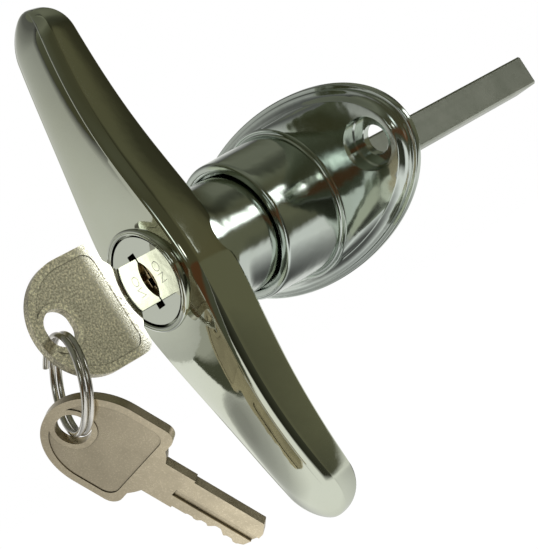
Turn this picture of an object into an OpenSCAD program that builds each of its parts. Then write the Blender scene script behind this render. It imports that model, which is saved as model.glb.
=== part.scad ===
// Garage door T handle lock: an oval base with a hub, a T handle on a stem, a wafer lock in
// the handle, a square spindle, two keys and a split ring.
// Frame: the door face is the plane y = 0, the lock axis is Y, +Y goes into the door,
// Z runs up along the T bar and X along the two screw holes. Sizes in millimetres.

/* [Base] */
// length of the oval base along X
base_len = 80.6; // [78:0.2:86]
// width of the oval base along Z
base_wid = 40.5; // [39.5:0.1:44]
// height of the stepped rim over the door
rim_h = 3.45; // [3:0.05:4]
// height the dome adds over the rim
dome_h = 2.8; // [2.2:0.1:3.2]
// hub diameter where it leaves the dome
hub_d = 32.4; // [32:0.1:33]
// height of the hub's front over the door
hub_len = 22.3; // [21.4:0.1:24]
// distance between the two screw holes
screw_spacing = 60.3; // [57:0.1:62]
// diameter of the counterbore for a screw head
screw_head_d = 11.6; // [10.5:0.1:12.4]
// diameter of the screw hole
screw_d = 6.4; // [4.5:0.1:6.6]

/* [Handle] */
// length of the T bar
bar_len = 122.4; // [116:0.2:130]
// width of the T bar at the lock
bar_mid_w = 27; // [26.4:0.1:29]
// width of the T bar near its ends
bar_end_w = 13.8; // [12:0.1:16]
// distance of the handle's front face from the door
face_out = 48.3; // [47.6:0.1:51]
// depth of the T bar from its front face to its back
bar_depth = 13.5; // [12.5:0.1:14.5]
// how far the ends of the bar bend back toward the door
bar_bow = 5; // [3.5:0.1:6]
// diameter of the visible stem
stem_d = 26; // [25.6:0.1:26.4]
// diameter of the stem's inner end that turns in the base
pivot_d = 21; // [20.6:0.1:21.4]

/* [Lock] */
// diameter of the bezel ring round the plug
bezel_d = 22.6; // [22.2:0.1:23.2]
// outer diameter of the lock sleeve
sleeve_d = 21.2; // [21:0.1:21.6]
// diameter of the plug's visible head
head_d = 19.2; // [18.8:0.1:19.4]
// diameter of the plug's body
plug_d = 16; // [15.9:0.1:16.2]
// length of the lock sleeve
lock_len = 23.7; // [23.4:0.1:24.4]
// travel of the lock bolt
bolt_travel = 3; // [2.6:0.1:3.2]

/* [Spindle] */
// side of the square spindle
spindle_w = 7.94; // [7.4:0.02:8.2]
// length of the spindle behind the door face
spindle_len = 85; // [60:0.5:110]
// diameter of the pin through the stem and the spindle
pin_d = 3; // [2.4:0.1:3.4]

/* [Keys and ring] */
// width of a key's bow
bow_w = 25; // [23:0.1:26]
// length of a key's bow
bow_l = 22.3; // [21.6:0.1:23]
// thickness of a key
key_t = 2; // [1.7:0.05:2.2]
// width of a key's blade
blade_w = 8.8; // [8.4:0.1:9.4]
// length of a key's blade
blade_l = 17.6; // [17.2:0.1:18.2]
// height of the long hole in a key's bow
key_hole_d = 6.8; // [6.6:0.1:7.2]
// diameter of the split ring, measured at the middle of its wire
ring_d = 19.3; // [18.4:0.1:21]
// diameter of the ring's wire
wire_d = 1.2; // [1:0.05:1.3]

/* [Hidden] */
$fn = 72;
// small overlap for cuts that pass right through
cut = 0.5;
// side clearance of a turning or sliding piece
run = 0.06;
// clearance of a pin or sleeve that stays where it is
snug = 0.02;
// the front of the handle, the hub's front and the end of the sleeve on the Y axis
y_face = -face_out;
y_hub = -hub_len;
y_lock = y_face + lock_len;
// radii taken from the diameters above
a_base = base_len / 2;
b_base = base_wid / 2;
stem_r = stem_d / 2;
pivot_r = pivot_d / 2;
plug_r = plug_d / 2;
head_r = head_d / 2;
sleeve_r = sleeve_d / 2;
bezel_r = bezel_d / 2;
// step where the stem narrows, and the ledge of the base behind it
y_step = y_hub + 2.8;
y_ledge = y_step + 0.2;
// the stem's inner end
y_pivot_end = -0.4;
// lock bolt: its front and back, half width, radius of its nose and depth of its notch
y_bolt = y_ledge + 3.8;
bolt_t = 4;
bolt_half = 4.6;
nose_r = pivot_r - 0.3;
notch_x = nose_r + bolt_travel + 0.4;
// drive pin: radius, distance from the axis, place at rest
drive_r = 1.4;
drive_e = bolt_travel / sqrt(2);
drive_x = -bolt_travel / 2;
drive_z = bolt_travel / 2;
// floor of the spindle's socket
y_socket = y_bolt + bolt_t + 1.9;
// thrust washer and snap ring behind the base
washer_t = 1;
ring_t = 1;
y_washer = -3.1;
y_snap = y_washer + washer_t;
// wafers: count, pitch, place of the first behind the face, thickness, half sizes, travel
wafer_n = 5;
wafer_pitch = 3;
wafer_first = 5.3;
wafer_t = 1.2;
wafer_x = 3.2;
wafer_z = sqrt(pow(plug_r - 0.12, 2) - wafer_x * wafer_x);
wafer_travel = 1;
function wafer_y(i) = y_face + wafer_first + wafer_pitch * i;
// spring beside each wafer
spring_x = 4.35;
spring_r = 0.62;
spring_wire_r = 0.15;
ear_z = 0.6;
spring_top = 3.7;
// keys: neck, flare at the bow, hole place and length, shoulder depth in the plug's face, depths of the cuts
neck_l = 8.5;
neck_w = blade_w + 1;
flare = 1.5;
hole_slot = 1.2;
hole_in = 5.8;
hole_y = -(neck_l + bow_l - hole_in);
shoulder_in = 1.3;
y_stop = y_face + shoulder_in;
cuts = [0.3, 0.7, 1.4, 0.6, 0.4];
// keyway: room above and below the key's neck, and the shallow dish on both sides of it
mouth_gap = 1.3;
dish_r = 5.6;
dish_off = 2.6;
dish_t = 0.8;
// split ring: wire radius, pitch of its two turns, how it lies, where it hangs in the first key
wire_r = wire_d / 2;
ring_r = ring_d / 2;
ring_pitch = wire_d + 0.15;
ring_turn = [-174.32, 70.33, -95.82];
ring_down = [cos(ring_turn[2]) * cos(ring_turn[1]), sin(ring_turn[2]) * cos(ring_turn[1]), -sin(ring_turn[1])];
ring_top = [0, y_stop + hole_y - 1.05, -1];
ring_mid = ring_top + ring_r * ring_down;
// second key: turns that lay it as it hangs, and the middle of its hole beside the ring's lowest point
key_2_turn = [-77.28, 26.17, -73.73];
key_2_hole = ring_top + ring_d * ring_down + [-2.29, 0.8, 1.8];

// a cylinder along Y between two places
module ycyl(r, y0, y1) {
    translate([0, y0, 0]) rotate([-90, 0, 0]) cylinder(r = r, h = y1 - y0);
}

// a cone along Y between two places
module ycone(r0, r1, y0, y1) {
    translate([0, y0, 0]) rotate([-90, 0, 0]) cylinder(r1 = r0, r2 = r1, h = y1 - y0);
}

// a block given by its two corners
module block(p, q) {
    translate(p) cube(q - p);
}

// a closed skin over a row of rings of points, each ring with the same count
module loft(rings) {
    n = len(rings[0]);
    m = len(rings);
    pts = [for (ring = rings) for (p = ring) p];
    walls = [for (i = [0 : m - 2]) for (j = [0 : n - 1]) let (k = (j + 1) % n)
        each [[i * n + j, (i + 1) * n + j, (i + 1) * n + k], [i * n + j, (i + 1) * n + k, i * n + k]]];
    first = [for (j = [0 : n - 1]) j];
    last = [for (j = [0 : n - 1]) m * n - 1 - j];
    polyhedron(points = pts, faces = concat(walls, [first], [last]), convexity = 6);
}

// a wire wound round Z: radius, wire radius, pitch, turns, steps per turn, sides of the wire
module coil(r, wr, pitch, turns, steps, sides, from) {
    count = round(turns * steps);
    loft([for (i = [0 : count])
        let (t = i / steps, ang = from + 360 * t, z = pitch * (t - turns / 2))
        [for (j = [0 : sides - 1]) let (b = 360 * j / sides)
            [(r + wr * cos(b)) * cos(ang), (r + wr * cos(b)) * sin(ang), z - wr * sin(b)]]]);
}

// rim of the base: how far each ring stands in from the edge, and its height
rim_steps = [[0, 0], [0, 0.32], [0.25, 0.36], [1, 0.37], [1.1, 0.57], [1.6, 0.61], [2.3, 0.72],
             [2.9, 0.86], [3.3, 1]];
rim_in = 3.3;

function oval(a, b, h) = [for (t = [0 : 5 : 355]) [a * cos(t), b * sin(t), h]];

function dome_rings() = concat(
    [for (s = rim_steps) oval(a_base - s[0], b_base - s[0], s[1] * rim_h)],
    [for (k = [0.96, 0.9, 0.82, 0.72, 0.6, 0.46, 0.3, 0.12])
        oval((a_base - rim_in) * k, (b_base - rim_in) * k, rim_h + dome_h * (1 - pow(k, 2.6)))]);

// metal left under a screw head
screw_seat_t = 1.7;

module screw_places() {
    for (s = [-1, 1]) translate([s * screw_spacing / 2, 0, 0]) children();
}

module base_escutcheon() color([0.78, 0.8, 0.8]) {
    boss_r = screw_head_d / 2 + 1.8;
    back_r = pivot_r + 4;
    difference() {
        union() {
            rotate([90, 0, 0]) loft(dome_rings());
            ycone(hub_d / 2 - 0.5, hub_d / 2, y_hub, -1);
        }
        ycyl(stem_r + 0.5, y_hub - cut, y_ledge);
        ycyl(pivot_r + 0.08, y_ledge - cut, cut);
        ycyl(back_r, y_washer - 0.1, cut);
        // notches for the lock bolt, with the handle upright and with it turned
        block([0, y_bolt - 0.15, -bolt_half - 0.2], [notch_x, y_bolt + bolt_t + 0.15, bolt_half + 0.2]);
        block([-bolt_half - 0.2, y_bolt - 0.15, -notch_x], [bolt_half + 0.2, y_bolt + bolt_t + 0.15, 0]);
        // screw holes
        screw_places() ycyl(screw_head_d / 2, -rim_h - dome_h, -screw_seat_t);
        screw_places() ycyl(screw_d / 2, -rim_h - dome_h, cut);
        // hollow back, left solid round the stem and the screws
        difference() {
            block([-a_base + 9, -1.2, -5.4], [a_base - 9, cut, 5.4]);
            ycyl(back_r + 2, -rim_h, 2 * cut);
            screw_places() ycyl(boss_r, -rim_h, 2 * cut);
        }
    }
}

// half width of the T bar, place of its front and of its back at a height on Z
function bar_half(z) = bar_end_w / 2 + 0.8 + (bar_mid_w / 2 - bar_end_w / 2 - 0.8) * exp(-pow(z / 26, 2))
    - 0.8 * abs(z) / (bar_len / 2);
function bar_front(z) = y_face + bar_bow * pow(abs(z) / (0.9 * bar_len / 2), 2.4);
function bar_back(z) = y_face + bar_depth + 1.5 * pow(abs(z) / (0.9 * bar_len / 2), 2);
// the round end caps: how much of the section is left
cap_l = 8.2;
function cap_left(z) = let (t = (abs(z) - bar_len / 2 + cap_l) / cap_l) t <= 0 ? 1 : sqrt(1 - t * t);
cap_y = y_face + bar_depth / 2 + 0.6 * bar_bow;

// one section of the bar: crowned face, rounded band, ridge, flat side, rounded back edge
function bar_side(w, yf, yb) = [[0, yf], [0.35 * (w - 1.7), yf + 0.11], [0.7 * (w - 1.7), yf + 0.44],
    [w - 1.7, yf + 0.9], [w - 1.05, yf + 1.25], [w - 0.5, yf + 1.85], [w - 0.12, yf + 2.7], [w, yf + 3.4],
    [w - 0.2, yb - 0.9], [w - 0.5, yb - 0.3], [w - 1.2, yb], [0, yb]];
function bar_ring(z) = let (s = bar_side(bar_half(z), bar_front(z), bar_back(z)), k = cap_left(z), n = len(s),
    full = concat(s, [for (i = [n - 2 : -1 : 1]) [-s[i][0], s[i][1]]]))
    [for (p = full) [p[0] * k, cap_y + (p[1] - cap_y) * k, z]];
// heights of the sections, closer together in the caps
bar_ends = [0.985, 0.93, 0.84, 0.7, 0.5, 0.25, 0];
bar_levels = concat(
    [for (t = bar_ends) -bar_len / 2 + cap_l - cap_l * t],
    [for (i = [-9 : 9]) i * (bar_len / 2 - cap_l) / 10],
    [for (i = [len(bar_ends) - 1 : -1 : 0]) bar_len / 2 - cap_l + cap_l * bar_ends[i]]);

module t_handle() color([0.78, 0.8, 0.8]) {
    difference() {
        union() {
            loft([for (z = bar_levels) bar_ring(z)]);
            ycyl(stem_r, y_face + 6, y_step);
            ycone(stem_r + 0.4, stem_r, y_face + bar_depth - 0.4, y_face + bar_depth + 2);
            ycyl(pivot_r, y_step - cut, y_pivot_end);
        }
        // seat of the lock sleeve, bore of the plug's tail
        ycyl(bezel_r + 0.1, y_face - 1, y_face + 1.1);
        ycyl(sleeve_r + snug, y_face, y_lock + 2);
        ycyl(4 + run, y_lock, y_bolt + cut);
        // guide of the lock bolt
        block([-6.2, y_bolt - 0.1, -bolt_half - 0.1], [stem_r, y_bolt + bolt_t + 0.1, bolt_half + 0.1]);
        // socket and pin hole of the spindle
        block([-spindle_w / 2 - 0.03, y_socket, -spindle_w / 2 - 0.03],
              [spindle_w / 2 + 0.03, cut, spindle_w / 2 + 0.03]);
        translate([0, y_socket / 2 - 1.1, -stem_r]) cylinder(r = pin_d / 2 + snug, h = stem_d);
        // hole of the sleeve's pin
        translate([0, y_lock - 2.2, -stem_r - cut]) cylinder(r = 1 + snug, h = stem_r);
        // groove of the snap ring
        difference() {
            ycyl(stem_r, y_snap - 0.05, y_snap + ring_t);
            ycyl(pivot_r - 1.1, y_snap - cut, y_snap + ring_t + cut);
        }
    }
}

module spindle() color([0.5, 0.52, 0.47]) {
    s = spindle_w / 2;
    c = 0.45;
    difference() {
        translate([0, y_socket, 0]) rotate([-90, 0, 0]) linear_extrude(spindle_len - y_socket)
            polygon([[s - c, s], [s, s - c], [s, c - s], [s - c, -s], [c - s, -s], [-s, c - s], [-s, s - c], [c - s, s]]);
        translate([0, y_socket / 2 - 1.1, -s - cut]) cylinder(r = pin_d / 2 + snug, h = spindle_w + 2 * cut);
    }
}

module spindle_pin() color([0.55, 0.55, 0.55]) {
    h = 2 * (pivot_r - 0.4);
    translate([0, y_socket / 2 - 1.1, -h / 2]) cylinder(r = pin_d / 2, h = h);
}

module thrust_washer() color([0.6, 0.6, 0.58]) {
    difference() {
        ycyl(pivot_r + 3.5, y_washer, y_snap);
        ycyl(pivot_r + snug, y_washer - cut, y_snap + cut);
    }
}

module snap_ring() color([0.35, 0.35, 0.36]) {
    difference() {
        ycyl(pivot_r + 2.1, y_snap, y_snap + ring_t);
        ycyl(pivot_r - 1.1 + snug, y_snap - cut, y_snap + ring_t + cut);
        block([-4, y_snap - cut, 0], [4, y_snap + ring_t + cut, stem_d]);
    }
}

module lock_sleeve() color([0.8, 0.82, 0.82]) {
    y_front = y_face - 0.45;
    y_seat = y_face + 1.1;
    groove = wafer_z + wafer_travel + 0.25;
    difference() {
        union() {
            ycone(bezel_r - 0.6, bezel_r, y_front, y_face + 0.15);
            ycyl(bezel_r, y_face + 0.15, y_seat);
            ycyl(sleeve_r, y_seat - 0.1, y_lock);
        }
        ycyl(head_r + 0.3, y_front - cut, y_face + 2.4);
        ycyl(plug_r + run, y_face, y_lock + cut);
        // room for the wafers that come out of the plug, with it at rest and turned
        for (a = [0, 90]) rotate([0, a, 0])
            block([-wafer_x - 0.2, wafer_y(0) - 1, -groove], [wafer_x + 0.2, wafer_y(wafer_n - 1) + 1, groove]);
        translate([0, y_lock - 2.2, -sleeve_r - cut]) cylinder(r = 1 + snug, h = cut + 1.4);
    }
}

module sleeve_pin() color([0.55, 0.55, 0.55]) {
    top = -sleeve_r + 1.4;
    translate([0, y_lock - 2.2, -stem_r + 0.2]) cylinder(r = 1, h = top + stem_r - 0.2);
}

module lock_plug() color([0.82, 0.83, 0.82]) {
    difference() {
        union() {
            ycyl(head_r, y_face, y_face + 2.2);
            ycyl(plug_r, y_face + 2, y_lock);
            ycyl(4, y_lock - 0.2, y_bolt - 0.5);
        }
        // keyway: wide mouth for the key's neck, a dish beside it, narrower slot for the blade
        block([-key_t / 2 - 0.25, y_face - cut, -neck_w / 2 - mouth_gap],
              [key_t / 2 + 0.25, y_face + shoulder_in + 0.1, neck_w / 2 + mouth_gap]);
        intersection() {
            translate([-dish_off, 0, 0]) ycyl(dish_r, y_face - cut, y_face + dish_t);
            translate([dish_off, 0, 0]) ycyl(dish_r, y_face - cut, y_face + dish_t);
        }
        block([-key_t / 2 - 0.25, y_face, -blade_w / 2 - 0.3],
              [key_t / 2 + 0.25, y_stop + blade_l + 0.6, blade_w / 2 + 0.3]);
        // slots for the wafers, with a pocket for each spring
        for (i = [0 : wafer_n - 1]) {
            block([-wafer_x - run, wafer_y(i) - wafer_t / 2 - run, -plug_r - cut],
                  [wafer_x + run, wafer_y(i) + wafer_t / 2 + run, plug_r + cut]);
            block([wafer_x - 0.2, wafer_y(i) - 0.9, -ear_z - wafer_travel - 0.2],
                  [spring_x + 1, wafer_y(i) + 0.9, spring_top]);
        }
        // seat of the drive pin
        translate([drive_x, 0, drive_z]) ycyl(drive_r + snug, y_bolt - 4.5, y_bolt);
        // groove of the clip
        difference() {
            ycyl(plug_r, y_lock, y_lock + 0.9);
            ycyl(3.4, y_lock - cut, y_lock + 1.4);
        }
    }
}

module drive_pin() color([0.6, 0.6, 0.6]) {
    translate([drive_x, 0, drive_z]) ycyl(drive_r, y_bolt - 4.5, y_bolt + bolt_t - 0.1);
}

module plug_clip() color([0.4, 0.4, 0.41]) {
    difference() {
        ycyl(plug_r - 0.6, y_lock + 0.1, y_lock + 0.9);
        ycyl(3.4 + snug, y_lock - cut, y_lock + 1.4);
        block([0, y_lock - cut, -2.4], [plug_r, y_lock + 1.4, 2.4]);
    }
}

module lock_bolt() color([0.62, 0.62, 0.6]) {
    difference() {
        intersection() {
            block([-5, y_bolt, -bolt_half], [nose_r, y_bolt + bolt_t, bolt_half]);
            ycyl(nose_r, y_bolt - cut, y_bolt + bolt_t + cut);
        }
        // cross slot for the drive pin
        block([drive_x - drive_r - 0.16, y_bolt - cut, drive_z - drive_r - 0.4],
              [drive_x + drive_r + 0.16, y_bolt + bolt_t + cut, drive_e + drive_r + 0.3]);
    }
}

module wafer(i) color([0.8, 0.66, 0.36]) {
    y0 = wafer_y(i) - wafer_t / 2;
    y1 = wafer_y(i) + wafer_t / 2;
    difference() {
        union() {
            block([-wafer_x, y0, -wafer_z], [wafer_x, y1, wafer_z]);
            block([wafer_x - 0.1, y0, -ear_z], [spring_x + 0.8, y1, ear_z]);
        }
        // window for the blade, with room for the wafer's travel
        block([-key_t / 2 - 0.4, y0 - cut, -blade_w / 2 - 0.2],
              [key_t / 2 + 0.4, y1 + cut, blade_w / 2 + wafer_travel + 0.2]);
    }
}

module wafer_spring(i) color([0.7, 0.7, 0.72]) {
    room = spring_top - ear_z;
    translate([spring_x, wafer_y(i), ear_z + room / 2])
        coil(spring_r, spring_wire_r, (room - 2 * spring_wire_r) / 4, 4, 14, 6, 0);
}

// edge of the blade with its cuts, at a place along it
function cut_at(y) = max([for (i = [0 : wafer_n - 1]) let (c = wafer_first - shoulder_in + wafer_pitch * i)
    max(0, cuts[i] - max(0, abs(y - c) - 0.6))]);

// outline of a bow: a round end, straight sides and small round corners at the neck
module bow_outline(inset) {
    r = bow_w / 2 - inset;
    y_mid = -neck_l - bow_l + bow_w / 2;
    y_front = -neck_l - inset;
    corner = 2.6;
    translate([y_mid, 0]) circle(r = r);
    translate([y_mid, -r]) square([y_front - corner - y_mid, 2 * r]);
    translate([y_mid, corner - r]) square([y_front - y_mid, 2 * (r - corner)]);
    for (s = [-1, 1]) translate([y_front - corner, s * (r - corner)]) circle(r = corner);
}

// long hole of a bow, made larger all round by a margin
module hole(margin) {
    d = key_hole_d + 2 * margin;
    for (s = [-1, 1]) translate([hole_y, s * hole_slot / 2]) circle(d = d);
    translate([hole_y - d / 2, -hole_slot / 2]) square([d, hole_slot]);
}

module key_blank() {
    half = blade_w / 2;
    edge = [for (y = [0.5 : 0.25 : blade_l - 2.2]) [y, cut_at(y) - half]];
    blade = concat([[-0.2, half], [-0.2, -half]], edge,
        [[blade_l - 1.3, cuts[4] + 0.4 - half], [blade_l, 0.2], [blade_l, 1.8], [blade_l - 1.4, half]]);
    w = neck_w / 2;
    // border left standing round the panel of the bow
    border = 1.7;
    neck = [[-neck_l - 1, -w - flare], [-neck_l, -w - flare], [flare - neck_l, -w], [0, -w],
        [0, w], [flare - neck_l, w], [-neck_l, w + flare], [-neck_l - 1, w + flare]];
    // lays an outline drawn along the key in the plane of the key
    module flat(t) {
        rotate([0, 90, 0]) rotate([0, 0, 90]) linear_extrude(t, center = true) children();
    }
    difference() {
        union() {
            flat(key_t) bow_outline(0);
            flat(key_t) polygon(neck);
            flat(key_t) polygon(blade);
        }
        flat(2 * key_t) hole(0);
        // milled groove on both sides of the blade
        for (s = [-1, 1]) translate([s * (key_t / 2 + 0.1), 0, -0.8])
            block([-0.6, -1.6, -0.95], [0.6, blade_l + cut, 0.95]);
        // shallow panel on both sides of the bow, its border left standing round the hole
        for (s = [-1, 1]) translate([s * (key_t / 2 + 0.3), 0, 0]) difference() {
            flat(1) bow_outline(border);
            flat(2) hole(1.2);
            // straight end of the panel at the neck
            block([-1, -neck_l - border, -bow_w], [1, 0, bow_w]);
        }
    }
}

module key_1() color([0.7, 0.64, 0.55]) {
    translate([0, y_stop, 0]) key_blank();
}

module key_2() color([0.78, 0.7, 0.58]) {
    translate(key_2_hole) rotate(key_2_turn) translate([0, -hole_y, 0]) key_blank();
}

module key_ring() color([0.75, 0.74, 0.7]) {
    translate(ring_mid) rotate(ring_turn)
        coil(ring_r, wire_r, ring_pitch, 2, 64, 10, 125);
}

base_escutcheon();
t_handle();
spindle();
spindle_pin();
thrust_washer();
snap_ring();
lock_sleeve();
sleeve_pin();
lock_plug();
drive_pin();
plug_clip();
lock_bolt();
wafer(0);  // wafer_1
wafer(1);  // wafer_2
wafer(2);  // wafer_3
wafer(3);  // wafer_4
wafer(4);  // wafer_5
wafer_spring(0);  // wafer_spring_1
wafer_spring(1);  // wafer_spring_2
wafer_spring(2);  // wafer_spring_3
wafer_spring(3);  // wafer_spring_4
wafer_spring(4);  // wafer_spring_5
key_1();
key_2();
key_ring();
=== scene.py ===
"""Looks of the garage door T handle lock: smooth castings, keys, ring, finishes, studio and camera."""
import math

import bmesh
import bpy
from mathutils import Euler, Matrix, Vector


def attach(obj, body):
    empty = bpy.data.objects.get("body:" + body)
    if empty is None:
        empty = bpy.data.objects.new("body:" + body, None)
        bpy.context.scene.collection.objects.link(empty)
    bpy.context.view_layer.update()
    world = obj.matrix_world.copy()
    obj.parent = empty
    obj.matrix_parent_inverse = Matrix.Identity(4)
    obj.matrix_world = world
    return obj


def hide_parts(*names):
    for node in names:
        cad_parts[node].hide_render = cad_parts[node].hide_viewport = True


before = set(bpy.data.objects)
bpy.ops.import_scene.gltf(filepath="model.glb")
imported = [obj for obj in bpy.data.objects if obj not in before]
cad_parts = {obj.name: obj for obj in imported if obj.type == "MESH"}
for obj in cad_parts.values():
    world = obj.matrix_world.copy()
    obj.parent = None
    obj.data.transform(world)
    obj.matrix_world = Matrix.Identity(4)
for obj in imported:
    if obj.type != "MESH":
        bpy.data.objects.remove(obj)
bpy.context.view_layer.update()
MM = 0.001

# sizes shared with the solids, in millimetres; Y runs from the front to the back of the lock
FACE_Y = -48.3  # front of the bar and of the plug
BASE_A, BASE_B = 40.3, 20.25  # half sizes of the base's outline
RIM_H, RIM_IN = 3.45, 3.3  # height and inset of the rim's inner edge
SCREW_X, SCREW_HEAD_R, SCREW_R = 30.15, 5.8, 3.2
HUB_R, STEM_R = 16.2, 13.0
BAR_LEN, BAR_MID, BAR_END, BAR_DEPTH, BAR_BOW = 122.4, 27.0, 13.8, 13.5, 5.0
CAP_L = 8.2  # length of the bar's round ends
CAP_Y = FACE_Y + BAR_DEPTH / 2 + 0.6 * BAR_BOW  # depth at which they close
SLEEVE_R, SLEEVE_END = 10.6, -24.7
SLEEVE_BORE_R = SLEEVE_R + 0.02
SLEEVE_PIN_Y, PIN_BORE_R = SLEEVE_END - 2.2, 1.02
BOLT_Y, BOLT_T, BOLT_HALF, BOLT_NOTCH = -15.5, 4.0, 4.6, 13.6  # front, thickness, half width, reach
WAFER_X, WAFER_OUT, WAFER_Y0, WAFER_Y1 = 3.2, 8.45, -43.0, -31.0  # half width, reach, first, last
SPINDLE_W, SPINDLE_Y = 7.94, -9.6


def radians(angles):
    """A list of angles in radians from degrees."""
    return [math.radians(a) for a in angles]


# the split ring hangs in key 1 at RING_AT and lies to one side of it; key 2 hangs at its far side
RING_AT = Vector((0, -73.05, -1))
RING_R = 9.65
RING_TURN = Euler(radians((-174.32, 70.33, -95.82))).to_matrix()
RING_OUT = RING_TURN @ Vector((1, 0, 0))
KEY_2_PLACE = RING_AT + 2 * RING_R * RING_OUT + Vector((-2.29, 0.8, 1.8))
KEY_2_TURN = (-77.28, 26.17, -73.73)


# material nodes

def node_material(name, color, rough, metal=1.0):
    """A Principled material and the handles needed to add detail to it."""
    mat = bpy.data.materials.new(name)
    mat.use_nodes = True
    tree = mat.node_tree
    bsdf = tree.nodes["Principled BSDF"]
    bsdf.inputs["Base Color"].default_value = (*color, 1)
    bsdf.inputs["Roughness"].default_value = rough
    bsdf.inputs["Metallic"].default_value = metal
    return mat, tree, bsdf


def feed(tree, bsdf, name, output):
    """Links an output to the named input of a material."""
    tree.links.new(output, bsdf.inputs[name])


def stretched(tree, vector, scale):
    """A vector stretched along its axes."""
    node = tree.nodes.new("ShaderNodeMapping")
    node.inputs["Scale"].default_value = scale
    tree.links.new(vector, node.inputs["Vector"])
    return node.outputs["Vector"]


def coords(tree, scale=(1, 1, 1)):
    """Object coordinates stretched by a scale."""
    tex = tree.nodes.new("ShaderNodeTexCoord")
    return stretched(tree, tex.outputs["Object"], scale)


def laid(tree, place, turn, scale=(1, 1, 1)):
    """Object coordinates in a frame of their own: place in metres, turn in radians, scale."""
    tex = tree.nodes.new("ShaderNodeTexCoord")
    node = tree.nodes.new("ShaderNodeMapping")
    node.vector_type = "TEXTURE"
    node.inputs["Location"].default_value = place
    node.inputs["Rotation"].default_value = turn
    node.inputs["Scale"].default_value = scale
    tree.links.new(tex.outputs["Object"], node.inputs["Vector"])
    return node.outputs["Vector"]


def split(tree, vector):
    """The X, Y and Z of a vector."""
    node = tree.nodes.new("ShaderNodeSeparateXYZ")
    tree.links.new(vector, node.inputs["Vector"])
    return [node.outputs[axis] for axis in "XYZ"]


def sheet_coords(tree):
    """The places across and up a sheet of the studio, 0 to 1."""
    tex = tree.nodes.new("ShaderNodeTexCoord")
    return split(tree, tex.outputs["UV"])[:2]


def noise(tree, vector, scale, detail=4.0, rough=0.55):
    """Noise texture at a scale."""
    node = tree.nodes.new("ShaderNodeTexNoise")
    node.inputs["Scale"].default_value = scale
    node.inputs["Detail"].default_value = detail
    node.inputs["Roughness"].default_value = rough
    tree.links.new(vector, node.inputs["Vector"])
    return node.outputs["Fac"]


def ramp(tree, fac, stops):
    """Colour ramp from (place, colour or grey) stops."""
    node = tree.nodes.new("ShaderNodeValToRGB")
    items = node.color_ramp.elements
    while len(items) < len(stops):
        items.new(0.5)
    for item, (place, value) in zip(items, stops):
        item.position = place
        item.color = (*value, 1) if isinstance(value, tuple) else (value, value, value, 1)
    tree.links.new(fac, node.inputs["Fac"])
    return node.outputs["Color"]


def math_node(tree, operation, a, b=0.0):
    """Math node from two sockets or numbers."""
    node = tree.nodes.new("ShaderNodeMath")
    node.operation = operation
    for socket, value in zip(node.inputs, (a, b)):
        if isinstance(value, (int, float)):
            socket.default_value = value
        else:
            tree.links.new(value, socket)
    return node.outputs["Value"]


def plus(tree, a, b):
    """Sum of two sockets or numbers."""
    return math_node(tree, "ADD", a, b)


def minus(tree, a, b):
    """Difference of two sockets or numbers."""
    return math_node(tree, "SUBTRACT", a, b)


def times(tree, a, b):
    """Product of two sockets or numbers."""
    return math_node(tree, "MULTIPLY", a, b)


def lesser(tree, a, b):
    """The smaller of two sockets or numbers."""
    return math_node(tree, "MINIMUM", a, b)


def mix(tree, blend, fac, a, b):
    """Colour mix of two sockets; fac is a socket or a number."""
    node = tree.nodes.new("ShaderNodeMix")
    node.data_type = "RGBA"
    node.blend_type = blend
    if isinstance(fac, float):
        node.inputs[0].default_value = fac
    else:
        tree.links.new(fac, node.inputs[0])
    tree.links.new(a, node.inputs[6])
    tree.links.new(b, node.inputs[7])
    return node.outputs[2]


def tinted(tree, a, b):
    """One colour multiplied by another."""
    return mix(tree, "MULTIPLY", 1.0, a, b)


def bump(tree, bsdf, layers):
    """Chain of bumps from (height, strength, distance in metres)."""
    last = None
    for height, strength, distance in layers:
        node = tree.nodes.new("ShaderNodeBump")
        node.inputs["Strength"].default_value = strength
        node.inputs["Distance"].default_value = distance
        tree.links.new(height, node.inputs["Height"])
        if last is not None:
            tree.links.new(last, node.inputs["Normal"])
        last = node.outputs["Normal"]
    feed(tree, bsdf, "Normal", last)


def painted_corner_shade(tree, reach, dark):
    """Painted shade in inner corners: a factor that falls to dark within a reach in millimetres."""
    node = tree.nodes.new("ShaderNodeAmbientOcclusion")
    node.samples = 8
    node.only_local = True
    node.inputs["Distance"].default_value = reach * MM
    return ramp(tree, node.outputs["AO"], [(0.6, dark), (0.93, 1.0)])


# finishes

WARM_CAST = (0.97, 0.96, 0.93)
PLUG_COLOR, PLUG_ROUGH, PLUG_WAVE = (0.63, 0.66, 0.575), 0.05, 0.12
# depth below the plug's face over which the greasy brown and the painted shade darken
GREASE_SHADE_DEPTH = 2.0  # below the plug's face


def buffed(tree, bsdf, vec, wave):
    """Bumps of a hand-buffed plate: long waves and a fine grain."""
    waves = noise(tree, vec, scale=150, detail=2)
    grain = noise(tree, vec, scale=1500, detail=2)
    bump(tree, bsdf, [(waves, wave, 0.18 * MM), (grain, 0.08, 0.02 * MM)])


def make_chrome(name, color, rough, wave):
    """Polished plate on a casting: hand-buffed waves, faint haze and warmer patches."""
    mat, tree, bsdf = node_material(name, color, rough)
    vec = coords(tree)
    haze = noise(tree, vec, scale=90, detail=6)
    feed(tree, bsdf, "Roughness", ramp(tree, haze, [(0.3, rough * 0.7), (0.75, rough * 1.7)]))
    tint = noise(tree, vec, scale=45, detail=3)
    warm = tuple(c * f for c, f in zip(color, WARM_CAST))
    feed(tree, bsdf, "Base Color", ramp(tree, tint, [(0.35, color), (0.7, warm)]))
    buffed(tree, bsdf, vec, wave)
    return mat


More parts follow.
